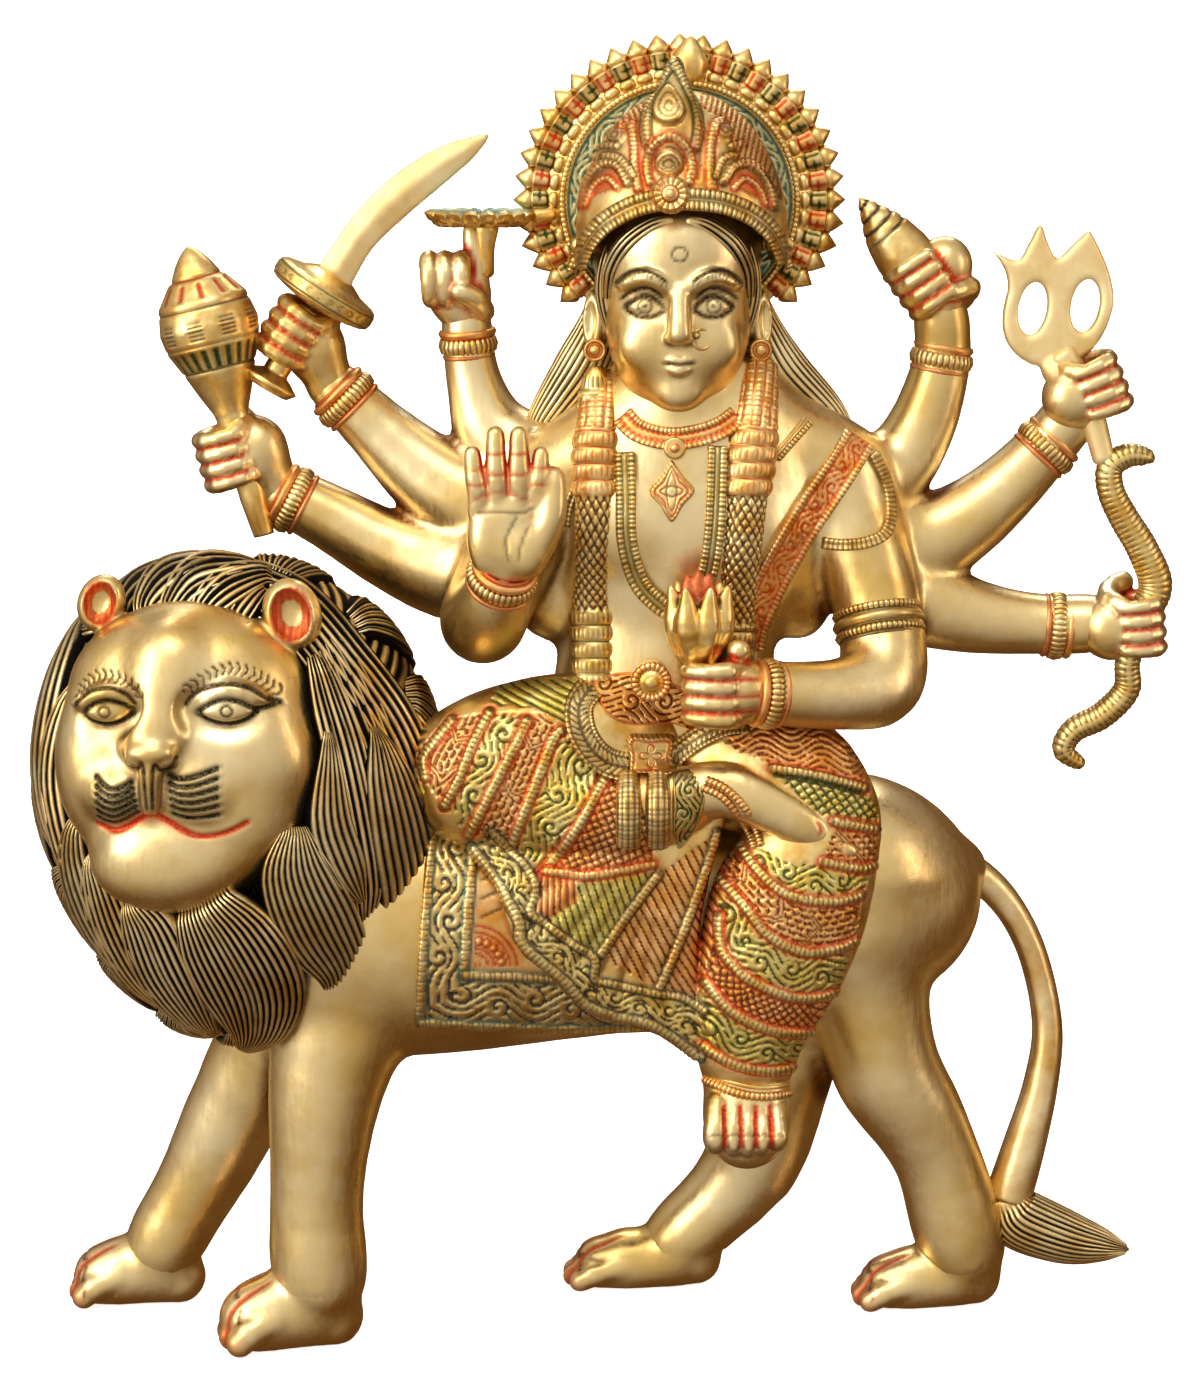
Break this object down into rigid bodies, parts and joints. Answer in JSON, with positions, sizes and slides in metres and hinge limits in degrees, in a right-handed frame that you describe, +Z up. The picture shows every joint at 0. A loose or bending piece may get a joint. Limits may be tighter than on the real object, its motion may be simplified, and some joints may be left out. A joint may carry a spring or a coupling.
{
  "type": "brass statue",
  "caption": "Cast brass figure of the goddess Durga with eight arms, haloed and crowned, seated side-saddle on a standing lion.",
  "frame": {"origin": "centre of the figure's bounding box, on the floor plane under the lion's four paws", "axes": "+Z up through the halo, +Y away from the viewer (the goddess and the lion's face look along -Y), -X is the way the lion walks"},
  "size_m": [0.4428, 0.1539, 0.508],
  "materials": {
    "cast_brass": "polished and hand-brushed cast brass with coloured lacquer in the engraving"
  },
  "bodies": {
    "root": {"durga_on_lion": "cast_brass"}
  },
  "joints": []
}
